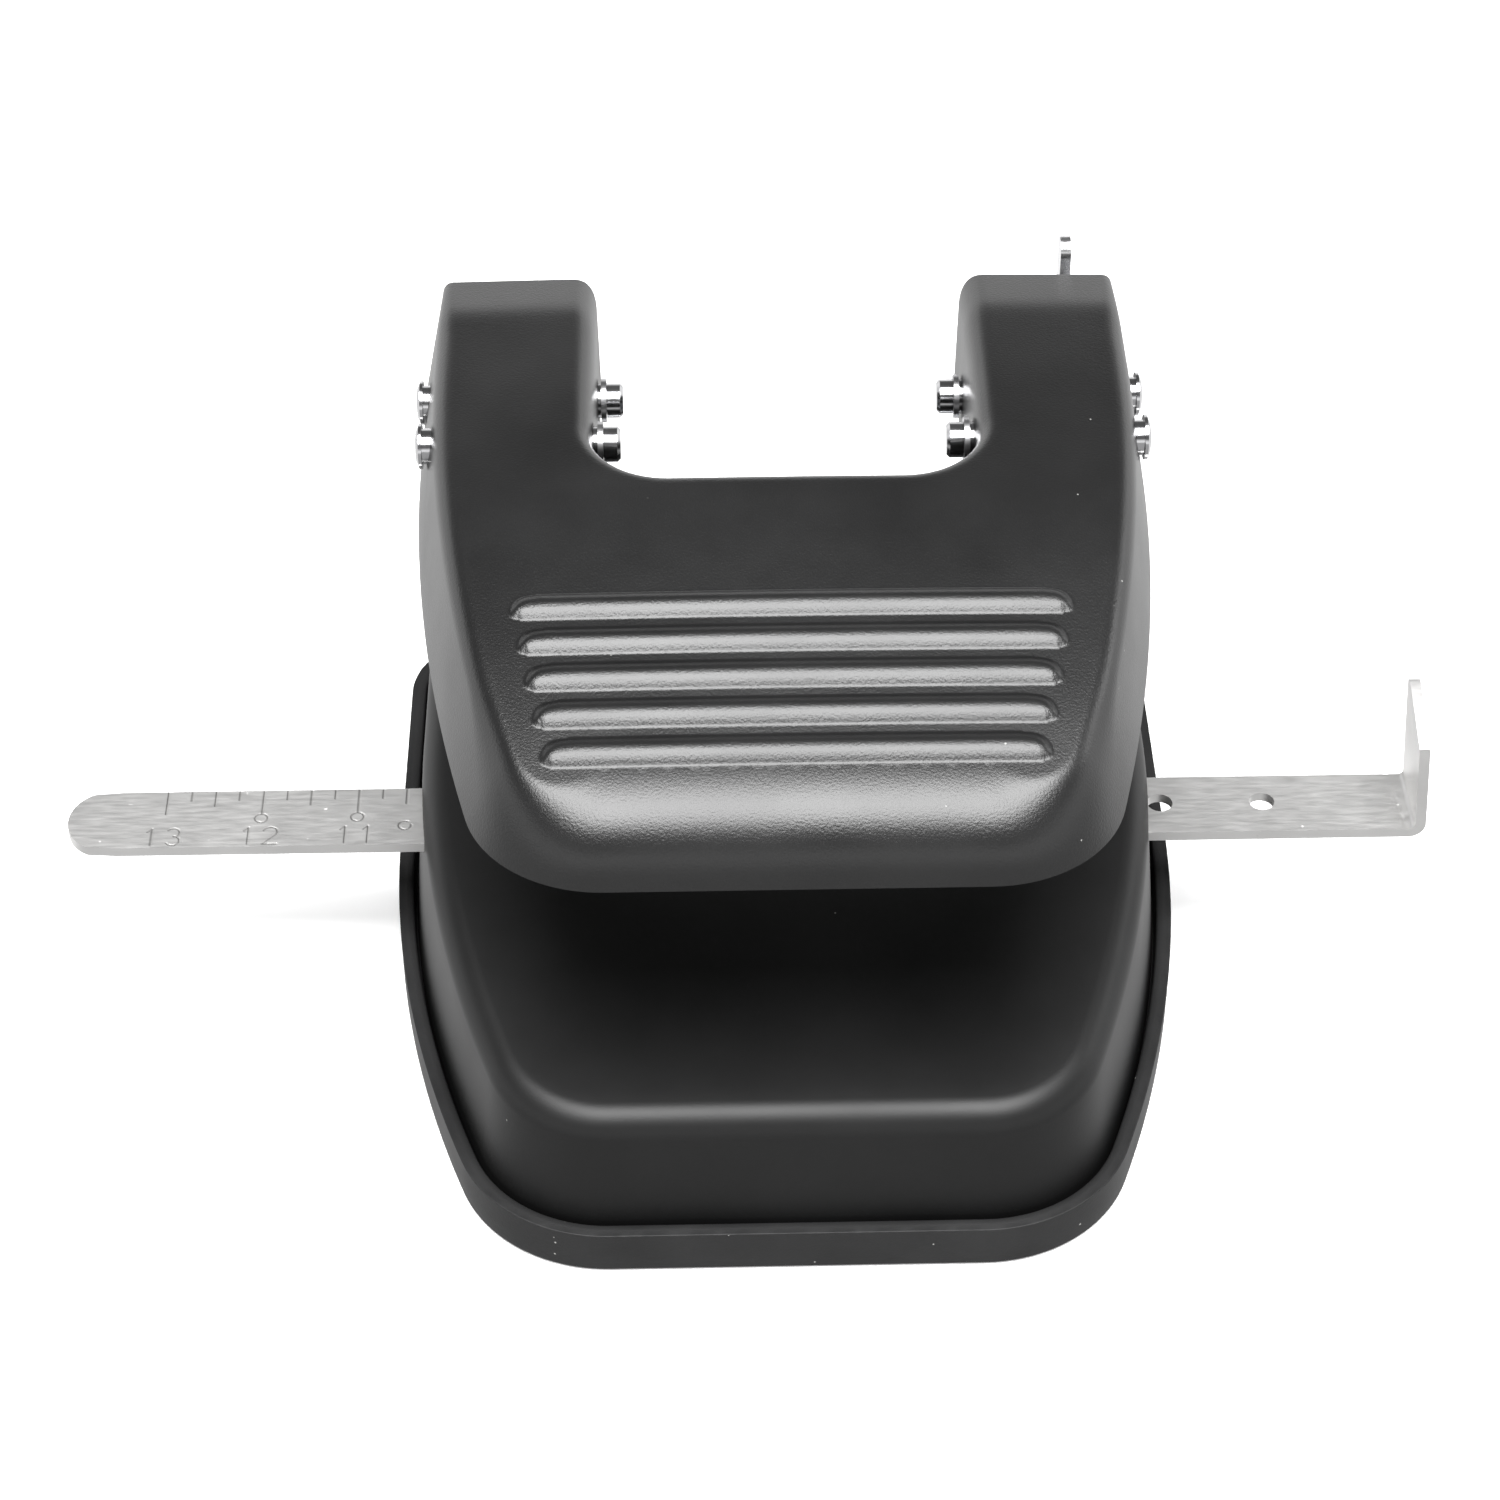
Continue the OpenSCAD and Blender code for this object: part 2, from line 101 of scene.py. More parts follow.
def bowed_side(w, bow_r, bow_y, front, corner_r, d, n):
    """Right-hand half of a bowed outline from its front middle to the widest point, moved inwards by d."""
    bow_x = w - bow_r
    corner_y = front + corner_r
    corner_x = bow_x + math.sqrt((bow_r - corner_r) ** 2 - (bow_y - corner_y) ** 2)
    end = math.degrees(math.atan2(corner_y - bow_y, corner_x - bow_x))
    middle = straight((0, front + d), (corner_x, front + d), n)
    corner = arc(corner_x, corner_y, corner_r - d, -90, end, n)
    side = arc(bow_x, bow_y, bow_r - d, end, 0, 2 * n)
    return [(0, front + d)] + middle[:-1] + corner[:-1] + side


def closed_loop(right):
    """Whole outline from its right half, which starts and ends on the middle line."""
    return right + mirrored(right[1:-1])


# ---------------------------------------------------------------- mesh helpers


def smooth(x):
    """Soft step from 0 to 1."""
    x = min(1.0, max(0.0, x))
    return x * x * (3 - 2 * x)


def new_piece(name, verts, faces, body, slot, *replaced):
    """Makes a mesh piece from millimetre points; it rides on a body and stands for CAD nodes."""
    mesh = bpy.data.meshes.new(name)
    mesh.from_pydata([(x * MM, y * MM, z * MM) for x, y, z in verts], [], faces)
    mesh.update()
    obj = bpy.data.objects.new(name, mesh)
    bpy.context.scene.collection.objects.link(obj)
    tidy(obj)
    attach(obj, body)
    if replaced:
        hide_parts(*replaced)
    return obj


def tidy(obj, merge=0.00001):
    """Joins doubled points, makes normals agree and shades smooth."""
    bm = bmesh.new()
    bm.from_mesh(obj.data)
    bmesh.ops.remove_doubles(bm, verts=bm.verts, dist=merge)
    bmesh.ops.recalc_face_normals(bm, faces=bm.faces)
    for f in bm.faces:
        f.smooth = True
    bm.to_mesh(obj.data)
    bm.free()


def strip(verts, rows, close=False):
    """Adds rows of points and returns quads between neighbouring rows."""
    start = len(verts)
    n = len(rows[0])
    for row in rows:
        verts.extend(row)
    faces = []
    for k in range(len(rows) - 1):
        for i in range(n if close else n - 1):
            j = (i + 1) % n
            a = start + k * n
            faces.append((a + i, a + j, a + n + j, a + n + i))
    return faces


def inside(p, loop):
    """Whether point p is inside a closed loop."""
    x, y = p
    hit = False
    j = len(loop) - 1
    for i in range(len(loop)):
        xi, yi = loop[i]
        xj, yj = loop[j]
        if (yi > y) != (yj > y) and x < (xj - xi) * (y - yi) / (yj - yi) + xi:
            hit = not hit
        j = i
    return hit


def near_loop(p, loop, gap):
    """Whether point p is within gap of any of the points."""
    return any((p[0] - q[0]) ** 2 + (p[1] - q[1]) ** 2 < gap * gap for q in loop)


def fill(verts, loops, grid, height, gap=0.25):
    """Faces of the area inside loops[0] and outside the others, with extra grid points."""
    coords, edges = [], []
    for loop in loops:
        s = len(coords)
        coords += loop
        edges += [(s + i, s + (i + 1) % len(loop)) for i in range(len(loop))]
    edge_points = list(coords)
    cells = {}
    for q in edge_points:
        cells.setdefault((int(q[0] // 1), int(q[1] // 1)), []).append(q)
    for p in grid:
        cx, cy = int(p[0] // 1), int(p[1] // 1)
        around = [q for i in (-1, 0, 1) for j in (-1, 0, 1) for q in cells.get((cx + i, cy + j), ())]
        if near_loop(p, around, gap):
            continue
        if inside(p, loops[0]) and not any(inside(p, hole) for hole in loops[1:]):
            coords.append(p)
    vs, _, fs, *_ = delaunay_2d_cdt([Vector(p) for p in coords], edges, [], 0, 1e-6)
    start = len(verts)
    verts.extend((v.x, v.y, height(v.x, v.y)) for v in vs)
    faces = []
    for f in fs:
        cx = sum(vs[i].x for i in f) / len(f)
        cy = sum(vs[i].y for i in f) / len(f)
        if inside((cx, cy), loops[0]) and not any(inside((cx, cy), hole) for hole in loops[1:]):
            faces.append(tuple(start + i for i in f))
    return faces


def spread(*spans):
    """Numbers along an axis: spans are (from, to, step)."""
    out = []
    for a, b, step in spans:
        n = max(1, round((b - a) / step))
        out += [a + (b - a) * i / n for i in range(n)]
    out.append(spans[-1][1])
    return out


def modifier(obj, kind, **values):
    """Adds a modifier of a kind and sets its values."""
    m = obj.modifiers.new(kind.title(), kind)
    for key, value in values.items():
        setattr(m, key, value)
    return m


def apply_modifiers(obj):
    """Makes a piece's modifiers part of its mesh."""
    bpy.context.view_layer.update()
    deps = bpy.context.evaluated_depsgraph_get()
    mesh = bpy.data.meshes.new_from_object(obj.evaluated_get(deps))
    old = obj.data
    obj.modifiers.clear()
    obj.data = mesh
    bpy.data.meshes.remove(old)


def cutter_cylinder(centre, axis, radius, length, sides=48):
    """Loose cylinder in millimetres for boolean cuts."""
    bm = bmesh.new()
    bmesh.ops.create_cone(bm, cap_ends=True, segments=sides, radius1=radius * MM, radius2=radius * MM,
                          depth=length * MM)
    mesh = bpy.data.meshes.new("cutter")
    bm.to_mesh(mesh)
    bm.free()
    obj = bpy.data.objects.new("cutter", mesh)
    bpy.context.scene.collection.objects.link(obj)
    turn = Vector((0, 0, 1)).rotation_difference(Vector(axis)).to_matrix().to_4x4()
    obj.data.transform(Matrix.Translation(Vector(centre) * MM) @ turn)
    return obj


def cutter_prism(outline, lo, hi):
    """Loose prism in millimetres along X, from lo to hi; its outline is in Y and Z."""
    n = len(outline)
    verts = [(lo, y, z) for y, z in outline] + [(hi, y, z) for y, z in outline]
    faces = [tuple(range(n)), tuple(range(2 * n - 1, n - 1, -1))]
    faces += [(i, (i + 1) % n, n + (i + 1) % n, n + i) for i in range(n)]
    mesh = bpy.data.meshes.new("cutter")
    mesh.from_pydata([(x * MM, y * MM, z * MM) for x, y, z in verts], [], faces)
    bm = bmesh.new()
    bm.from_mesh(mesh)
    bmesh.ops.recalc_face_normals(bm, faces=bm.faces)
    bm.to_mesh(mesh)
    bm.free()
    obj = bpy.data.objects.new("cutter", mesh)
    bpy.context.scene.collection.objects.link(obj)
    return obj


def cut(obj, cutters):
    """Cuts loose solids out of a piece and removes them."""
    for c in cutters:
        modifier(obj, "BOOLEAN", operation="DIFFERENCE", solver="EXACT", object=c)
        apply_modifiers(obj)
        mesh = c.data
        bpy.data.objects.remove(c)
        bpy.data.meshes.remove(mesh)


# ---------------------------------------------------------------- materials


def nodes_of(name):
    """A new material, its node tree and its shader."""
    mat = bpy.data.materials.new(name)
    mat.use_nodes = True
    tree = mat.node_tree
    return mat, tree, tree.nodes["Principled BSDF"]


def add(tree, kind, **inputs):
    """Adds a shader node and sets its inputs."""
    node = tree.nodes.new(kind)
    for key, value in inputs.items():
        node.inputs[key.replace("_", " ")].default_value = value
    return node


def ramp(tree, source, stops):
    """Turns a value into greys or colours by (place, value) stops."""
    node = tree.nodes.new("ShaderNodeValToRGB")
    while len(node.color_ramp.elements) < len(stops):
        node.color_ramp.elements.new(0.5)
    for element, (pos, value) in zip(node.color_ramp.elements, stops):
        element.position = pos
        element.color = value if isinstance(value, tuple) else (value, value, value, 1)
    tree.links.new(source, node.inputs["Fac"])
    return node.outputs["Color"]


def position(tree, scale=(1, 1, 1)):
    """Object coordinates, stretched per axis."""
    coord = tree.nodes.new("ShaderNodeTexCoord")
    mapping = tree.nodes.new("ShaderNodeMapping")
    mapping.inputs["Scale"].default_value = scale
    tree.links.new(coord.outputs["Object"], mapping.inputs["Vector"])
    return mapping.outputs["Vector"]


def noise_at(tree, vector, scale, detail=3.0, rough=0.5):
    """Noise from 0 to 1 at a vector."""
    node = add(tree, "ShaderNodeTexNoise", Scale=scale, Detail=detail, Roughness=rough)
    tree.links.new(vector, node.inputs["Vector"])
    return node.outputs["Fac"]


def bump(tree, bsdf, height, strength, distance):
    """Raises the surface's shading by a height value; distance is in metres."""
    node = add(tree, "ShaderNodeBump", Strength=strength, Distance=distance)
    tree.links.new(height, node.inputs["Height"])
    tree.links.new(node.outputs["Normal"], bsdf.inputs["Normal"])


def colour_blend(tree, factor, below, above, kind="MIX"):
    """Blends two colours by a factor; each may be a socket or a plain value."""
    node = tree.nodes.new("ShaderNodeMix")
    node.data_type = "RGBA"
    node.blend_type = kind
    for socket, value in (("Factor", factor), ("A", below), ("B", above)):
        if isinstance(value, bpy.types.NodeSocket):
            tree.links.new(value, node.inputs[socket])
        else:
            node.inputs[socket].default_value = value
    return node.outputs["Result"]


def dust_mask(tree, pos, share):
    """1 on rare fine specks of dust, elsewhere 0; a higher share leaves fewer of them."""
    cells = add(tree, "ShaderNodeTexVoronoi", Scale=700.0)
    tree.links.new(pos, cells.inputs["Vector"])
    near = ramp(tree, cells.outputs["Distance"], [(0.07, 1.0), (0.11, 0.0)])
    chosen = ramp(tree, cells.outputs["Color"], [(share, 0.0), (share + 0.002, 1.0)])
    both = tree.nodes.new("ShaderNodeMath")
    both.operation = "MULTIPLY"
    tree.links.new(near, both.inputs[0])
    tree.links.new(chosen, both.inputs[1])
    return both.outputs["Value"]


def paint(name, colour, rough, ior, grain, grain_depth, specks):
    """Black baked paint: fine grain, slight unevenness, a few dust specks."""
    mat, tree, bsdf = nodes_of(name)
    pos = position(tree)
    cloud = noise_at(tree, pos, 60, 4)
    fine = noise_at(tree, pos, grain, 2, 0.6)
    lo = tuple(c * 0.86 for c in colour) + (1,)
    hi = tuple(c * 1.16 for c in colour) + (1,)
    base = ramp(tree, cloud, [(0.3, lo), (0.7, hi)])
    dusty = colour_blend(tree, dust_mask(tree, pos, specks), base, (0.22, 0.22, 0.21, 1))
    tree.links.new(dusty, bsdf.inputs["Base Color"])
    tree.links.new(ramp(tree, cloud, [(0.25, rough - 0.03), (0.75, rough + 0.04)]), bsdf.inputs["Roughness"])
    bump(tree, bsdf, fine, 0.5, grain_depth)
    bsdf.inputs["IOR"].default_value = ior
    return mat


def metal(name, colour, rough, streak=(1, 1, 1), streak_scale=900, depth=0.00002, tint=0.12, speck=0.78):
    """Plated or ground steel: drawn streaks, cloudy plating and small marks."""
    mat, tree, bsdf = nodes_of(name)
    pos = position(tree)
    lines = noise_at(tree, position(tree, streak), streak_scale, 4, 0.6)
    cloud = noise_at(tree, pos, 120, 4)
    lo = tuple(c * (1 - tint) for c in colour) + (1,)
    base = ramp(tree, cloud, [(0.3, lo), (0.7, tuple(colour) + (1,))])
    tree.links.new(base, bsdf.inputs["Base Color"])
    marks = ramp(tree, noise_at(tree, pos, 700, 1), [(speck, rough), (speck + 0.05, min(1, rough + 0.3))])
    streaks = ramp(tree, lines, [(0.3, 0.0), (0.8, 1.0)])
    tree.links.new(colour_blend(tree, 0.12, marks, streaks, "ADD"), bsdf.inputs["Roughness"])
    bsdf.inputs["Metallic"].default_value = 1.0
    bump(tree, bsdf, lines, 0.25, depth)
    return mat


def stamped(mat, colour):
    """Darkens a metal by the piece's stored groove value: painted shade along one flank of each stamped
    line.
    """
    tree = mat.node_tree
    bsdf = tree.nodes["Principled BSDF"]
    plain = bsdf.inputs["Base Color"].links[0].from_socket
    groove_shade_node = tree.nodes.new("ShaderNodeAttribute")
    groove_shade_node.attribute_name = "groove_shade"
    with_groove_shade = colour_blend(tree, groove_shade_node.outputs["Fac"], plain, (*colour, 1))
    tree.links.new(with_groove_shade, bsdf.inputs["Base Color"])


def rubber(name, colour):
    """Matte moulded rubber with a fine skin and pale dust."""
    mat, tree, bsdf = nodes_of(name)
    pos = position(tree)
    cloud = noise_at(tree, pos, 90, 5)
    lo = tuple(c * 0.8 for c in colour) + (1,)
    hi = tuple(c * 1.25 for c in colour) + (1,)
    base = ramp(tree, cloud, [(0.3, lo), (0.75, hi)])
    dusty = colour_blend(tree, dust_mask(tree, pos, 0.84), base, (0.3, 0.3, 0.29, 1))
    tree.links.new(dusty, bsdf.inputs["Base Color"])
    tree.links.new(ramp(tree, cloud, [(0.2, 0.5), (0.8, 0.62)]), bsdf.inputs["Roughness"])
    bump(tree, bsdf, noise_at(tree, pos, 2600, 3, 0.6), 0.4, 0.00006)
    bsdf.inputs["IOR"].default_value = 1.4
    return mat


HANDLE_PAINT = paint("handle_paint_black", (0.005, 0.005, 0.0051), 0.33, 1.55, 3200, 0.00008, 0.9)
BASE_PAINT = paint("housing_paint_black", (0.004, 0.004, 0.0041), 0.46, 1.42, 3000, 0.00002, 0.91)
RUBBER = rubber("pan_rubber_black", (0.012, 0.012, 0.0123))
NICKEL = metal("bar_satin_nickel", (0.8, 0.795, 0.785), 0.4, (1, 7, 7), 260, 0.00001, 0.1)
# painted shade in the bar's stamped lines
stamped(NICKEL, (0.16, 0.155, 0.15))
CHROME = metal("pin_chrome", (0.5, 0.5, 0.51), 0.12, (1, 1, 1), 500, 0.00001, 0.05)
BRIGHT = metal("bright_zinc", (0.78, 0.78, 0.79), 0.2, (1, 1, 1), 700, 0.00002)
FRAME_ZINC = metal("frame_zinc", (0.6, 0.61, 0.63), 0.32, (1, 1, 8), 300, 0.00004, 0.2)
GROUND = metal("ground_tool_steel", (0.66, 0.66, 0.67), 0.24, (1, 1, 12), 240, 0.00003, 0.1)
SPRING = metal("spring_wire", (0.55, 0.55, 0.56), 0.26, (1, 1, 1), 900, 0.00002, 0.15)


def coat(obj, mat):
    """Gives a whole piece one material."""
    obj.data.materials.clear()
    obj.data.materials.append(mat)
    for poly in obj.data.polygons:
        poly.material_index = 0


# ---------------------------------------------------------------- handle

LIP_Z = HANDLE_LO.z
LIP_FRONT = HANDLE_LO.y
HANDLE_REAR = HANDLE_HI.y
ROOF_TOP = HANDLE_HI.z
HALF_W = HANDLE_HI.x
ROOF_FRONT = LIP_FRONT + 1.3
NOTCH_HALF = 24.0
NOTCH_FRONT = 5.9
NOTCH_R = 9.5
ROOF_SOFT = 8.0                                # longest reach of the edge rounding onto the roof
NOTCH_SOFT = 3.0                               # reach of the rounding round the notch
LIP_SHAPE = (HALF_W, 290, 30.8, LIP_FRONT, 17)  # half width, bow radius and centre, front, corner radius
ROOF_SHAPE = (HALF_W - 3.2, 262, 30, ROOF_FRONT, 14)
ROOF_SINK = 0.15                               # the roof stays this far under the CAD's top
ARCH_Y = 24.0                                  # the roof is highest behind this line
ARCH_D = 520.0                                 # diameter of its fall to the front
CROWN = 0.35                                   # fall of the roof at CROWN_X from the middle line
CROWN_X = 40.0
REAR_BEND = 39.5                               # behind this line the roof slopes down to the rear
REAR_SLOPE = 0.2
FRONT_FROM = -25.0                             # the legs' shape turns into the front's from here
FRONT_RUN = 25.0
LEG_KEEP, MORE_KEEP = 0.18, 0.67               # swept_edge's keep at the legs, and what the front adds
LEG_REACH, MORE_REACH = 0.31, 0.69             # the same for its reach
RIDGES = 5
RIDGE_PITCH = 5.4
RIDGE_FOOT = -20.3                             # front foot of the rearmost ridge
RIDGE_HALF = 33.9
RIDGE_CORNER = 3.4                             # radius of a ridge's rear corners, seen from above
RIDGE_TOE = 1.4                                # and of its front corners
# Slope over the roof across a ridge, from its front foot to its rear foot: crease, face, crest, rear flank.
RIDGE_SLOPES = [(0.0, 0.0), (0.3, 0.8), (1.3, 0.4), (2.7, -0.25), (3.9, -0.74), (4.6, 0.0)]
RIDGE_W = RIDGE_SLOPES[-1][0]
RIDGE_END_SLOPES = [(0.0, 0.0), (0.4, 0.8), (1.2, 0.6), (2.4, 0.1), (6.0, 0.02)]


def climb(slopes, q):
    """Height gained over q along a run of (place, slope) points, the slope changing evenly between."""
    height = 0.0
    for (q0, s0), (q1, s1) in zip(slopes[:-1], slopes[1:]):
        if q <= q0:
            break
        reach = min(q, q1) - q0
        slope = s0 + (s1 - s0) * reach / (q1 - q0)
        height += (s0 + slope) / 2 * reach
    return height


def soft_min(a, b, k):
    """The smaller of two values, blended over k where they are close."""
    h = max(k - abs(a - b), 0.0) / k
    return min(a, b) - h * h * k / 4


def ridges_height(x, y):
    """Height of the pressed ridges over the roof: a sloping front face, a soft crest and rounded ends."""
    for i in range(RIDGES):
        w = y - (RIDGE_FOOT - i * RIDGE_PITCH)
        if 0 < w < RIDGE_W:
            side = RIDGE_HALF - i - abs(x)
            for depth, corner in ((RIDGE_W - w, RIDGE_CORNER), (w, RIDGE_TOE)):
                if side < corner and depth < corner:
                    side = corner - math.hypot(corner - side, corner - depth)
            return max(0.0, soft_min(climb(RIDGE_SLOPES, w), climb(RIDGE_END_SLOPES, side), 0.5))
    return 0.0


def bend_past(d, soft):
    """Distance past a line, with a bend of softness soft instead of a corner."""
    t = d / soft
    return soft * (math.log1p(math.exp(t)) if t < 30 else t)


def roof_height(x, y):
    """Arched roof, falling to the front and, past a soft bend, at the rear end."""
    z = ROOF_TOP - ROOF_SINK
    if y < ARCH_Y:
        z -= (ARCH_Y - y) ** 2 / ARCH_D
    z -= REAR_SLOPE * bend_past(y - REAR_BEND, 0.8)
    return z - CROWN * (x / CROWN_X) ** 2


def front_share(y):
    """0 along the legs, 1 at the front lip."""
    return smooth((FRONT_FROM - y) / FRONT_RUN)


def mix(a, b, u):
    """The point a share u of the way from a to b."""
    return tuple(p + (q - p) * u for p, q in zip(a, b))


def swept_edge(lip, crease, roof, skirt_steps, bend_steps, keeps, reaches):
    """Rows of points from the lip up the skirt and round a bend onto the roof.

    keeps is the skirt's bent share of the height and reaches the bend's share of the way to roof."""
    feet = [(x, y, LIP_Z) for x, y in lip]
    tops = [(x, y, roof_height(x, y)) for x, y in crease]
    skirts = [mix(t, f, k) for t, f, k in zip(tops, feet, keeps)]
    plan = [mix(c, r, u) for c, r, u in zip(crease, roof, reaches)]
    flats = [(x, y, roof_height(x, y)) for x, y in plan]
    rows = [[mix(f, k, n / skirt_steps) for f, k in zip(feet, skirts)] for n in range(skirt_steps)]
    for n in range(bend_steps + 1):
        u = n / bend_steps
        rows.append([mix(mix(k, t, u), mix(t, f, u), u) for k, t, f in zip(skirts, tops, flats)])
    return rows


def open_side(params, d, n):
    """Right half of an outline, then straight to the open rear end, as an open run left to right."""
    right = bowed_side(*params, d, n)
    right += straight(right[-1], (right[-1][0], HANDLE_REAR), 12)
    return mirrored(right[1:]) + right


def notch_run(d, n=16):
    """The gap between the legs, widened by d, from left rear round to right rear."""
    half = NOTCH_HALF + d
    cx, cy = NOTCH_HALF - NOTCH_R, NOTCH_FRONT + NOTCH_R
    right = [(0, NOTCH_FRONT - d)] + straight((0, NOTCH_FRONT - d), (cx, NOTCH_FRONT - d), 8)
    right += arc(cx, cy, NOTCH_R + d, -90, 0, n)[1:]
    right += straight(right[-1], (half, HANDLE_REAR), 26)
    return mirrored(right[1:]) + right


def make_handle():
    """Pressed handle: outer skirt, inner skirt round the notch, and the ridged roof between them."""
    verts = []
    lip = open_side(LIP_SHAPE, 0, 20)
    share = [front_share(y) for _, y in lip]
    tight = [1 - 0.5 * smooth((y - 34) / 14) for _, y in lip]     # the bend is tighter at the rear ends
    keeps = [LEG_KEEP * t + MORE_KEEP * u for u, t in zip(share, tight)]
    reaches = [LEG_REACH * t + MORE_REACH * u * smooth((40 - abs(x)) / 14)
               for u, t, (x, _) in zip(share, tight, lip)]
    outer = swept_edge(lip, open_side(ROOF_SHAPE, 0, 20), open_side(ROOF_SHAPE, ROOF_SOFT, 20), 8, 16,
                       keeps, reaches)
    faces = strip(verts, outer)
    flange = notch_run(0)
    inner = swept_edge(flange, notch_run(0.3), notch_run(0.3 + NOTCH_SOFT), 8, 10,
                       [0.3] * len(flange), [1.0] * len(flange))
    faces += strip(verts, inner)
    a = [(x, y) for x, y, _ in outer[-1]]
    b = [(x, y) for x, y, _ in inner[-1]]
    rear_right = straight(a[-1], b[-1], 8)[:-1]
    rear_left = straight(b[0], a[0], 8)[:-1]
    loop = a + rear_right + list(reversed(b)) + rear_left
    xs = spread((-44, -34.6, 1.2), (-34.6, -26, 0.3), (-26, 26, 1.5), (26, 34.6, 0.3), (34.6, 44, 1.2))
    ys = spread((-46, -43.2, 0.7), (-43.2, -15, 0.16), (-15, 51, 1.3))
    grid = [(x, y) for y in ys for x in xs]
    faces += fill(verts, [loop], grid, lambda x, y: roof_height(x, y) + ridges_height(x, y), 0.3)
    handle = new_piece("press_handle", verts, faces, "handle", "handle_paint", "handle")
    modifier(handle, "SOLIDIFY", thickness=SHEET * MM, offset=-1, use_even_offset=True)
    apply_modifiers(handle)
    holes = [cutter_cylinder((s * 35, c.y, c.z), (1, 0, 0), PIN_R + 0.06, 50) for s in (-1, 1)
             for c in (PIVOT, DRIVE)]
    cut(handle, holes)
    modifier(handle, "BEVEL", width=0.28 * MM, segments=3,
             limit_method="ANGLE", angle_limit=math.radians(50),
             harden_normals=True)
    coat(handle, HANDLE_PAINT)
    return handle


# ---------------------------------------------------------------- base

FOOT_IN = PAN_HI.x - HOUSE_HI.x                # the housing's foot stands this far inside the pan's edge
BASE_SHAPE = (PAN_HI.x, 170, 14, PAN_LO.y, 20)
DECK_Z = HOUSE_HI.z
DECK_BEND_Y = -14.0                            # in front of this line the deck slopes down
DECK_SLOPE = 0.115
REAR_R = 12.0
RIVET_HOLE_R = 1.55


def base_loop(d, n=20):
    """Base outline moved inwards by d, closed."""
    right = bowed_side(*BASE_SHAPE, d, n)
    corner = arc(PAN_HI.x - REAR_R, PAN_HI.y - REAR_R, REAR_R - d, 0, 90, n)
    right += straight(right[-1], corner[0], 10)[:-1] + corner
    right += straight(corner[-1], (0, PAN_HI.y - d), 8)
    return closed_loop(right)


def deck_height(y):
    """Flat at the rear; a long soft bend leads into the slope down to the front."""
    return DECK_Z - DECK_SLOPE * bend_past(DECK_BEND_Y - y, 4)


def make_housing():
    """Pressed housing: drafted walls, a soft edge, the deck, and its slots and holes."""
    verts = []
    draft, edge = 1.9, 3.2
    rows = []
    for k in range(8):
        u = k / 8
        rows.append([(x, y, HOUSE_LO.z + (deck_height(y) - edge - HOUSE_LO.z) * u)
                     for x, y in base_loop(FOOT_IN + draft * u)])
    for k in range(13):
        a = math.radians(90 * k / 12)
        inset = FOOT_IN + draft + edge * (1 - math.cos(a)) + 0.35 * math.sin(a)
        rows.append([(x, y, deck_height(y) - edge * (1 - math.sin(a))) for x, y in base_loop(inset)])
    faces = strip(verts, rows, close=True)
    top = [(x, y) for x, y, _ in rows[-1]]
    grid = [(x, y) for x in spread((-45, 45, 2.2)) for y in spread((-52, 52, 1.6))]
    faces += fill(verts, [top], grid, lambda x, y: deck_height(y), 0.8)
    housing = new_piece("housing_shell", verts, faces, "base", "black_paint", "base_housing")
    modifier(housing, "SOLIDIFY", thickness=SHEET * MM, offset=-1, use_even_offset=True)
    apply_modifiers(housing)
    cut(housing, [slot_cutter(), *deck_cutters()])
    modifier(housing, "BEVEL", width=0.22 * MM, segments=3,
             limit_method="ANGLE", angle_limit=math.radians(50),
             harden_normals=True)
    coat(housing, BASE_PAINT)
    return housing


def slot_cutter():
    """Round-ended slot through both side walls for the guide bar."""
    bar_low = BAR_LO.z
    z0, z1 = bar_low - 0.55, bar_low + 2.0
    r = (z1 - z0) / 2
    y0, y1 = BAR_LO.y - 0.5, BAR_HI.y + 2.6
    outline = arc(y0 + r, z0 + r, r, 270, 90, 10) + arc(y1 - r, z0 + r, r, 90, -90, 10)
    return cutter_prism(outline, -70, 70)


def deck_cutters():
    """Chip holes under the punches and holes for the flush rivets."""
    cuts = [cutter_cylinder((s * HEAD_X, PUNCH_Y, DECK_Z), (0, 0, 1), 3.9, 8) for s in (-1, 1)]
    clip_lo, clip_hi = box_mm("bar_clip_rivets")
    head_r = 2.0
    for y in (clip_lo.y + head_r, clip_hi.y - head_r):
        cuts.append(cutter_cylinder((0, y, DECK_Z), (0, 0, 1), RIVET_HOLE_R, 8, 32))
    for name in ("left", "right"):
        for x, y in frame_rivet_centres(name):
            cuts.append(cutter_cylinder((x, y, DECK_Z), (0, 0, 1), RIVET_HOLE_R, 8, 32))
    return cuts


def frame_rivet_centres(side):
    """Middles of the rivets in one foot, from the loose solids of the rivet node."""
    obj = nodes[f"frame_rivets_{side}"]
    bm = bmesh.new()
    bm.from_mesh(obj.data)
    left = set(bm.verts)
    centres = []
    while left:
        island, queue = set(), [left.pop()]
        while queue:
            v = queue.pop()
            island.add(v)
            for e in v.link_edges:
                w = e.other_vert(v)
                if w in left:
                    left.discard(w)
                    queue.append(w)
        xs = [v.co.x / MM for v in island]
        ys = [v.co.y / MM for v in island]
        c = ((min(xs) + max(xs)) / 2, (min(ys) + max(ys)) / 2)
        if not any(math.dist(c, d) < 0.5 for d in centres) and max(xs) - min(xs) > 2:
            centres.append(c)
    bm.free()
    return centres


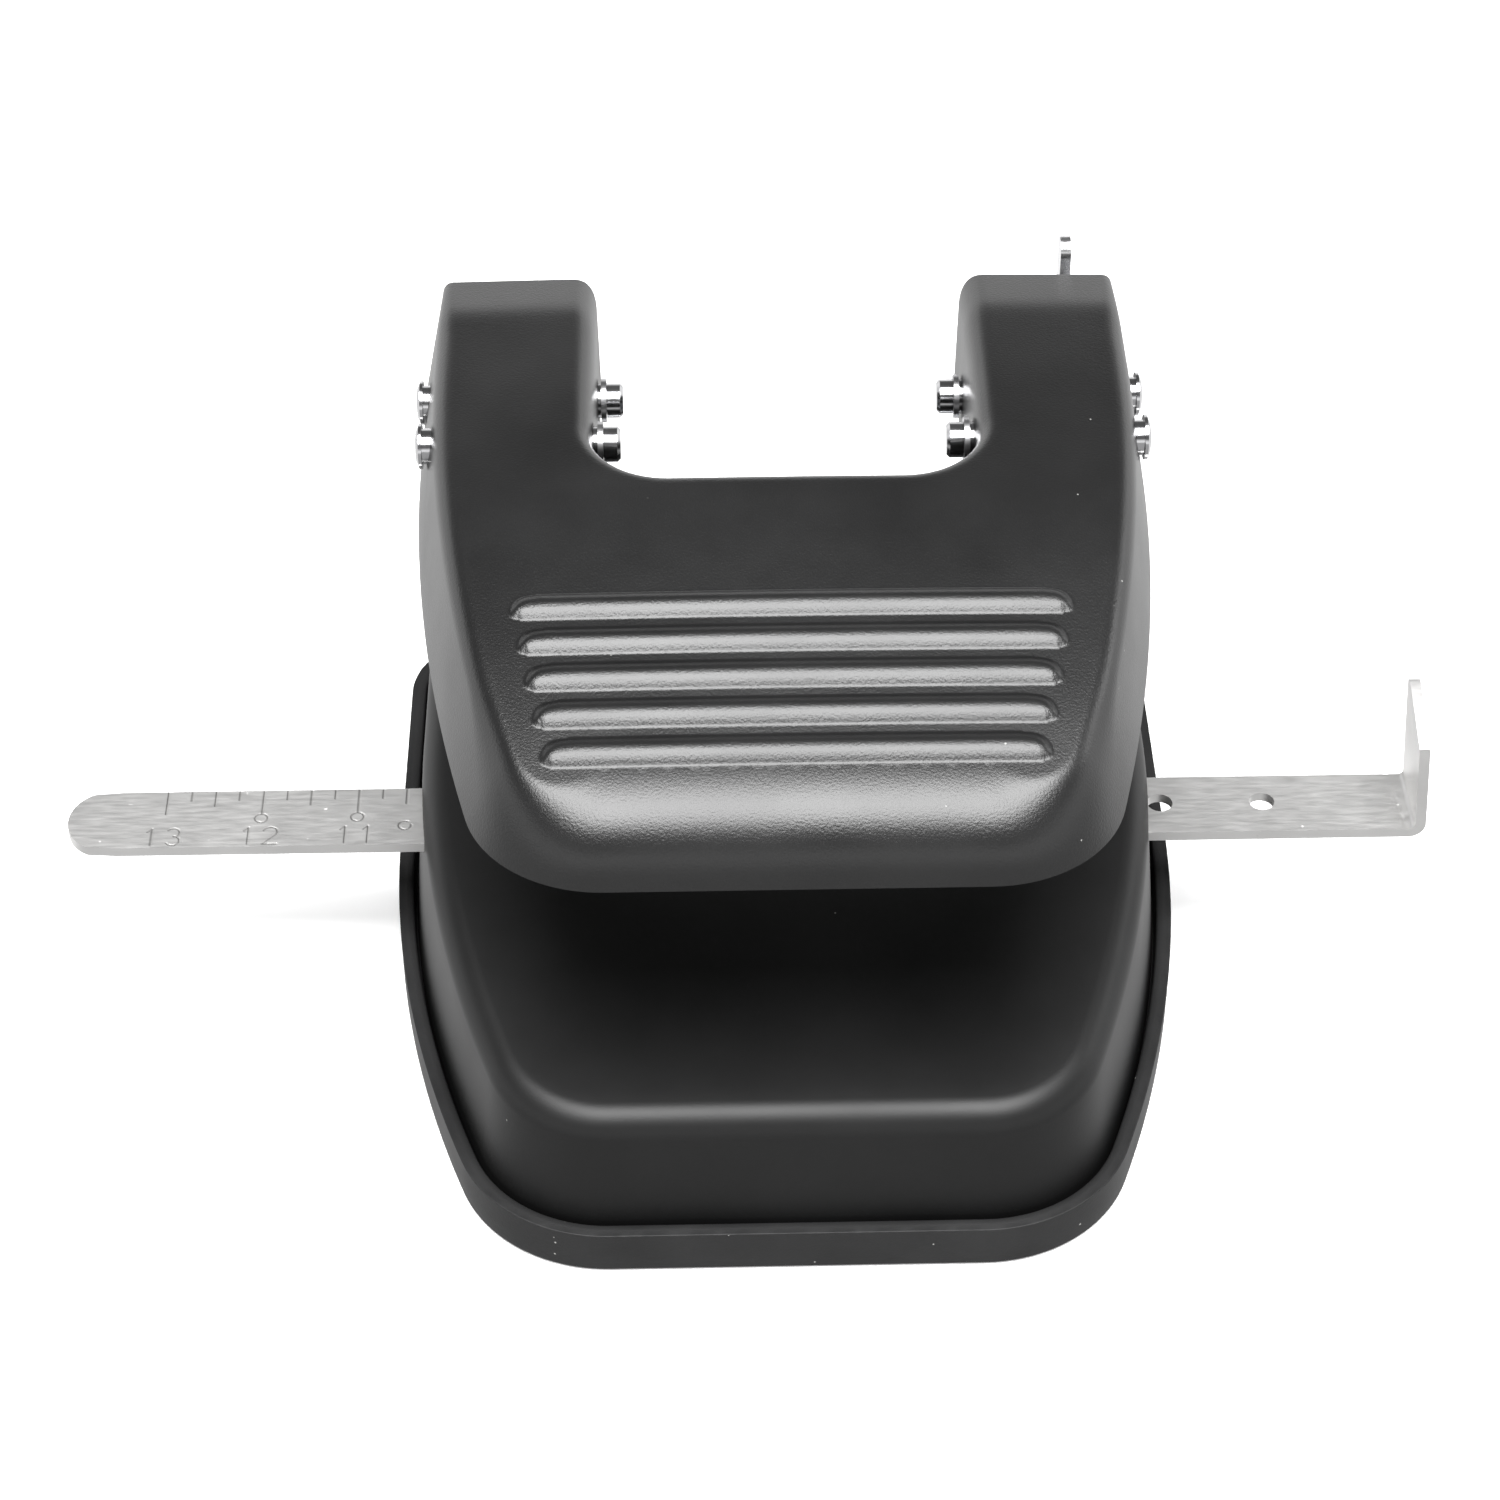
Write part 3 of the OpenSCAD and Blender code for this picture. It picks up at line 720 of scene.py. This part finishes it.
def make_pan():
    """Rubber pan: soft-edged rim, floor, and a thin ragged flash line on the rim's outer edge."""
    verts = []
    floor_z, rim_z = HOUSE_LO.z, PAN_HI.z
    rim = 2.0
    soft = 0.45
    profile = [(9.0, 0.0), (1.2, 0.0)]
    profile += [(soft + 0.3 - (soft + 0.3) * math.sin(a), soft + 0.3 - (soft + 0.3) * math.cos(a))
                for a in (math.radians(90 * k / 5) for k in range(6))]
    profile += [(0.0, rim_z * 0.5), (0.0, rim_z - 0.32), (-0.06, rim_z - 0.12), (0.02, rim_z - 0.02)]
    profile += [(0.16, rim_z - 0.04), (rim * 0.5, rim_z - 0.03), (rim - 0.3, rim_z - 0.05)]
    profile += [(rim - 0.06, rim_z - 0.2), (rim, rim_z - 0.5)]
    profile += [(rim, floor_z + 0.6), (rim + 0.2, floor_z + 0.1), (rim + 1.0, floor_z)]
    profile += [(9.0, floor_z)]
    rows = []
    for k, (d, z) in enumerate(profile):
        d = min(max(d, 0.0), 11.0)
        row = base_loop(d, 44)
        ragged = 1.0 if abs(z - rim_z) < 0.14 and d < 0.1 else 0.0
        line = []
        for i, (x, y) in enumerate(row):
            wob = math.sin(i * 1.7) * 0.5 + math.sin(i * 0.61 + 2) * 0.7 + math.sin(i * 4.3 + 1) * 0.4
            line.append((x, y, z + ragged * 0.035 * wob))
        rows.append(line)
    faces = strip(verts, rows, close=True)
    for row in (rows[0], rows[-1]):
        start = len(verts)
        verts.extend(row)
        faces.append(tuple(range(start, start + len(row))))
    pan = new_piece("rubber_pan", verts, faces, "pan", "pan_rubber", "base_pan")
    coat(pan, RUBBER)
    return pan


# ---------------------------------------------------------------- guide bar

BAR_T = 1.4
BAR_W = BAR_HI.y - BAR_LO.y
BAR_Y = (BAR_LO.y + BAR_HI.y) / 2
BAR_TOP = BAR_LO.z + BAR_T
TAB_X = BAR_HI.x - BAR_T                       # inner face of the end tab
INCH = 12.7                                    # bar travel for one inch of paper width
BEND_R = 0.7                                   # inside radius of the tab's bend
GROOVE_DEPTH = 0.05                            # of the stamped marks
GROOVE_HALF = 0.2
GROOVE_LIP = 0.012                             # height of the raised edge beside a mark
SHADE_SHIFT = 0.14                              # the painted shade lies this far left of a groove's middle
# half width of the painted shade along a stamped line
SHADE_HALF = 0.15


def stroke_digit(digit):
    """A digit as stroke segments in a box 2 wide and 3.3 high."""
    if digit == "1":
        lines = [[(0.5, 2.6), (1.1, 3.3), (1.1, 0.0)]]
    elif digit == "2":
        lines = [arc(1.0, 2.35, 0.92, 165, -30, 8) + [(0.05, 0.0), (2.0, 0.0)]]
    elif digit == "3":
        lines = [arc(0.95, 2.45, 0.82, 150, -80, 8), arc(0.95, 0.87, 0.9, 85, -150, 8)]
    elif digit == "0":
        lines = [arc(1.0, 1.65, 0.9, 0, 360, 14)]
    elif digit == "9":
        lines = [arc(1.0, 2.35, 0.9, 0, 360, 10), [(1.9, 2.35), (1.4, 0.0)]]
    else:
        lines = [arc(1.0, 2.5, 0.75, 0, 360, 10), arc(1.0, 0.87, 0.88, 0, 360, 10)]
    return lines


def scale_strokes():
    """Stamped lines, rings and numbers of the bar's scale, as segments in plan."""
    segs = []
    rear = BAR_HI.y

    def polyline(points):
        """Adds the segments of a run of points."""
        segs.extend(zip(points[:-1], points[1:]))

    for q in range(8 * 4, 13 * 4 + 1):
        inches = q / 4
        x = TAB_X - inches * INCH
        if x > 6:
            continue
        if q % 4 == 0:
            polyline([(x, rear), (x, rear - 4.5)])
            if inches in (11, 12):
                polyline(arc(x, rear - 5.5, 0.85, 90, 450, 12))
            number = str(int(inches))
            left = x - (1.6 if len(number) == 2 else 0.4) - 1.0
            for k, digit in enumerate(number):
                for line in stroke_digit(digit):
                    polyline([(left + k * 3.0 + px, BAR_LO.y + 0.45 + py) for px, py in line])
        elif q % 2 == 0:
            polyline([(x, rear), (x, rear - 3.0)])
        else:
            polyline([(x, rear), (x, rear - 1.9)])
    x = TAB_X - 10.5 * INCH
    polyline(arc(x, rear - 7.3, 0.85, 60, 370, 10))
    return segs


def stroke_distance(p, segs):
    """Distance from a point to the nearest of the segments."""
    best = 9.0
    for (ax, ay), (bx, by) in segs:
        dx, dy = bx - ax, by - ay
        ln = dx * dx + dy * dy
        t = 0.0 if ln == 0 else min(1.0, max(0.0, ((p[0] - ax) * dx + (p[1] - ay) * dy) / ln))
        d = math.hypot(p[0] - ax - dx * t, p[1] - ay - dy * t)
        best = min(best, d)
    return best


def stroke_finder(segs):
    """Function that gives the distance from a point to the nearest stroke, or None far away."""
    cells = {}
    for seg in segs:
        (ax, _), (bx, _) = seg
        for cx in range(math.floor(min(ax, bx) - 0.6), math.floor(max(ax, bx) + 0.6) + 1):
            cells.setdefault(cx, []).append(seg)

    def distance(x, y):
        """Distance to the nearest mark, or None where no mark is near."""
        near = cells.get(math.floor(x))
        return stroke_distance((x, y), near) if near else None

    return distance


def groove(distance, x, y):
    """Depth of the stamped marks at a point: a groove with slightly raised lips."""
    d = distance(x, y)
    if d is None:
        return 0.0
    lip = GROOVE_LIP * math.exp(-((d - 1.4 * GROOVE_HALF) / 0.09) ** 2)
    return lip - GROOVE_DEPTH * (1 - smooth(d / GROOVE_HALF))


def mark_stamp(obj, distance):
    """Stores painted shade along one flank of each stamped line, for the bar's material."""
    layer = obj.data.attributes.new("groove_shade", "FLOAT", "POINT")
    for v, value in zip(obj.data.vertices, layer.data):
        x, y, z = v.co / MM
        d = distance(x + SHADE_SHIFT, y) if z > BAR_TOP - 0.3 else None
        value.value = 0.0 if d is None else 1 - smooth(d / SHADE_HALF)


def make_bar():
    """Guide bar: a stamped flat blank with two holes, its end turned up as a tab."""
    y0, y1 = BAR_LO.y, BAR_HI.y
    r = BAR_W / 2
    flat_end = TAB_X - BEND_R
    bend = math.pi / 2 * BEND_R
    front_h, rear_h = 13.9 - BEND_R, 17.6 - BEND_R
    xf, xr = flat_end + bend + front_h, flat_end + bend + rear_h
    corner = 1.6
    left = arc(BAR_LO.x + r * 0.86, BAR_Y, r, 250, 110, 26)
    left = [(BAR_LO.x + r * 0.86 + (x - BAR_LO.x - r * 0.86) * 0.86, y) for x, y in left]
    outline = [(x, y0) for x in spread((-88, 78, 1.0), (78, xf, 0.25))]
    outline += [(xf + (xr - xf) * t, y0 + (y1 - corner - y0) * t) for t in (0.15, 0.3, 0.45, 0.6, 0.75, 0.9)]
    outline += arc(xr - corner, y1 - corner, corner, 0, 90, 6)
    outline += [(x, y1) for x in reversed(spread((-88, 78, 0.5), (78, xr - corner - 0.2, 0.25)))]
    outline += list(reversed(left))
    holes = [list(reversed(arc(x, BAR_Y + 0.4, 1.7, 0, 360, 32)[:-1])) for x in (49.8, 63.4)]
    segs = scale_strokes()
    distance = stroke_finder(segs)
    grid = []
    for x in spread((-92, 5, 0.13)):
        near = any(abs(x - a[0]) < 0.7 or abs(x - b[0]) < 0.7 or min(a[0], b[0]) < x < max(a[0], b[0])
                   for a, b in segs)
        step = 0.13 if near else 0.8
        if not near and round(x / 0.13) % 5:
            continue
        grid += [(x, y) for y in spread((y0 + 0.1, y1 - 0.1, step))]
    grid += [(x, y) for x in spread((5.5, flat_end - 1, 0.9)) for y in spread((y0 + 0.5, y1 - 0.5, 0.9))]
    grid += [(x, y) for x in spread((flat_end - 1, xr, 0.22)) for y in spread((y0 + 0.5, y1 - 0.5, 1.1))]
    verts = []
    faces = fill(verts, [outline, *holes], grid, lambda x, y: groove(distance, x, y), 0.09)
    lean = math.radians(4)

    def bent(x, y, z, below):
        """Maps the flat blank onto the bar with its end turned up."""
        z -= below
        s = x - flat_end
        coin = -0.1 * math.exp(-((s + 0.9 + (y - BAR_Y) * 0.12) / 0.22) ** 2) if below == 0 else 0.0
        if s <= 0:
            return (x, y, BAR_TOP + z + coin)
        a = min(s / BEND_R, math.pi / 2)
        radius = BEND_R - z
        px = flat_end + radius * math.sin(a)
        pz = BAR_TOP + BEND_R - radius * math.cos(a)
        rest = max(0.0, s - bend)
        return (px - rest * math.sin(lean), y, pz + rest * math.cos(lean))

    n = len(verts)
    top = [bent(*v, 0) for v in verts]
    bottom = [bent(v[0], v[1], 0.0, BAR_T) for v in verts]
    count = {}
    for f in faces:
        for i in range(len(f)):
            e = (f[i], f[(i + 1) % len(f)])
            count[frozenset(e)] = count.get(frozenset(e), []) + [e]
    sides = [(e[0][1], e[0][0], e[0][0] + n, e[0][1] + n) for e in count.values() if len(e) == 1]
    under = [tuple(i + n for i in reversed(f)) for f in faces]
    bar = new_piece("guide_bar_plate", top + bottom, faces + under + sides, "guide_bar", "bar_nickel",
                    "guide_bar")
    # painted shade along one flank of each stamped line
    mark_stamp(bar, distance)
    modifier(bar, "BEVEL", width=0.16 * MM, segments=2, limit_method="ANGLE", angle_limit=math.radians(60),
             harden_normals=True)
    coat(bar, NICKEL)
    return bar


# ---------------------------------------------------------------- springs and carried-over nodes


def make_spring(side):
    """Closed and ground coil spring around a punch shank."""
    name = "left" if side < 0 else "right"
    lo, hi = box_mm(f"return_spring_{name}")
    cx = (lo.x + hi.x) / 2
    wire = 0.6
    mean = (hi.y - lo.y) / 2 - wire
    turns, sides, per_turn = 7.5, 14, 40
    z0, z1 = lo.z + wire, hi.z - wire
    steps = int(turns * per_turn)
    rows = []
    for k in range(steps + 1):
        t = k / steps
        a = 2 * math.pi * turns * t
        closed = 1.0 / turns                    # one turn's share of the wire
        eased = smooth((t - closed * 0.35) / (1 - closed * 0.7))
        even = min(1, max(0, (t - closed * 0.8) / (1 - closed * 1.6)))
        rise = eased * 0.35 + even * 0.65
        z = z0 + (z1 - z0) * rise
        row = []
        for s in range(sides):
            b = 2 * math.pi * s / sides
            rr = mean + wire * math.cos(b)
            row.append((cx + rr * math.cos(a), PUNCH_Y + rr * math.sin(a), z + wire * math.sin(b)))
        rows.append(row)
    verts = []
    faces = strip(verts, rows, close=True)
    faces.append(tuple(range(sides)))
    faces.append(tuple(range(len(verts) - sides, len(verts))))
    spring = new_piece(f"coil_spring_{name}", verts, faces, "base", "spring_steel", f"return_spring_{name}")
    coat(spring, SPRING)
    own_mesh(spring)
    return spring


CARRIED = {
    "pin_chrome": CHROME, "bright_steel": BRIGHT, "frame_steel": FRAME_ZINC,
    "tool_steel": GROUND, "spring_steel": SPRING}
BEVELS = {"pivot_pin_left": 0.5, "pivot_pin_right": 0.5, "drive_pin_left": 0.5, "drive_pin_right": 0.5,
          "head_frame_left": 0.35, "head_frame_right": 0.35,
          "guide_block_left": 0.3, "guide_block_right": 0.3,
          "die_plate_left": 0.25, "die_plate_right": 0.25, "lock_latch": 0.22, "bar_clip": 0.15}


def finish_cad_nodes():
    """Gives every CAD node that stays its plated or ground metal and softened edges."""
    slots = {s["node"]: s["material_slot"] for s in frame["record"]["subparts"]}
    for name, obj in nodes.items():
        mat = CARRIED.get(slots[name])
        if mat is None:
            continue
        coat(obj, mat)
        for poly in obj.data.polygons:
            poly.use_smooth = True
        modifier(obj, "BEVEL", width=BEVELS.get(name, 0.16) * MM, segments=2, limit_method="ANGLE",
                 angle_limit=math.radians(35), harden_normals=True)


# ---------------------------------------------------------------- camera, floor and light


def make_camera():
    """Long lens, 41 degrees down, a touch rolled and turned, as the object is seen."""
    tilt, roll, yaw = math.radians(41), math.radians(-0.24), math.radians(-1.65)
    forward = Vector((0, math.cos(tilt), -math.sin(tilt)))
    up0 = Vector((0, math.sin(tilt), math.cos(tilt)))
    right = math.cos(roll) * Vector((1, 0, 0)) - math.sin(roll) * up0
    up = math.sin(roll) * Vector((1, 0, 0)) + math.cos(roll) * up0
    data = bpy.data.cameras.new("camera")
    data.sensor_width = 36
    data.lens = 88.8
    data.shift_x = -0.0251
    data.clip_start, data.clip_end = 0.01, 20
    cam = bpy.data.objects.new("camera", data)
    bpy.context.scene.collection.objects.link(cam)
    place = Vector((0.00012, -0.36338, 0.35042))
    cam.matrix_world = Matrix.Rotation(yaw, 4, "Z") @ Matrix((
        (right.x, up.x, -forward.x, place.x),
        (right.y, up.y, -forward.y, place.y),
        (right.z, up.z, -forward.z, place.z),
        (0, 0, 0, 1)))
    bpy.context.scene.camera = cam


def area_light(name, place, target, size, size_y, power):
    """A rectangular light at a place, turned to its target."""
    data = bpy.data.lights.new(name, "AREA")
    data.shape = "RECTANGLE"
    data.size, data.size_y = size, size_y
    data.energy = power
    obj = bpy.data.objects.new(name, data)
    bpy.context.scene.collection.objects.link(obj)
    obj.location = place
    obj.rotation_mode = "QUATERNION"
    obj.rotation_quaternion = (Vector(target) - Vector(place)).to_track_quat("-Z", "Y")
    return obj


def make_studio():
    """White floor, pale walls by direction, and two soft lights."""
    mesh = bpy.data.meshes.new("floor")
    half = 4.0
    corners = [(-half, -half, 0), (half, -half, 0), (half, half, 0), (-half, half, 0)]
    mesh.from_pydata(corners, [], [(0, 1, 2, 3)])
    floor = bpy.data.objects.new("floor", mesh)
    bpy.context.scene.collection.objects.link(floor)
    mat, tree, bsdf = nodes_of("floor_white")
    bsdf.inputs["Base Color"].default_value = (0.93, 0.93, 0.93, 1)
    bsdf.inputs["Roughness"].default_value = 0.7
    bsdf.inputs["Emission Color"].default_value = (1, 1, 1, 1)
    bsdf.inputs["Emission Strength"].default_value = 0.3      # a light table, which fills the shadows
    mesh.materials.append(mat)
    floor.visible_glossy = False                # reflections show the walls' evenly lit lower part instead
    world = bpy.data.worlds.new("studio")
    bpy.context.scene.world = world
    world.use_nodes = True
    tree = world.node_tree
    direction = tree.nodes.new("ShaderNodeTexCoord")
    parts = tree.nodes.new("ShaderNodeSeparateXYZ")
    tree.links.new(direction.outputs["Generated"], parts.inputs["Vector"])
    # White walls up to about 25 degrees over the horizon, a grey ceiling above, a darker floor in front.
    above = [(0.03, 1.0), (0.2, 1.0), (0.43, 0.11), (0.85, 0.08)]
    front = ramp(tree, parts.outputs["Z"], [(0.0, 0.4)] + above)
    rear = ramp(tree, parts.outputs["Z"], [(0.0, 0.75)] + above)
    behind = ramp(tree, parts.outputs["Y"], [(0.0, 0.0), (0.25, 1.0)])
    tree.links.new(colour_blend(tree, behind, front, rear), tree.nodes["Background"].inputs["Color"])
    tree.nodes["Background"].inputs["Strength"].default_value = 1.55
    area_light("top_soft", (0.0, -0.2, 0.75), (0, -0.04, 0), 0.7, 0.54, 18)
    area_light("right_soft", (0.8, 0.3, 0.5), (0, 0, 0.05), 0.4, 0.3, 1.4)
    bpy.context.scene.view_settings.view_transform = "Standard"


make_camera()
make_studio()
make_handle()
make_housing()
make_pan()
make_bar()
make_spring(-1)
make_spring(1)
finish_cad_nodes()
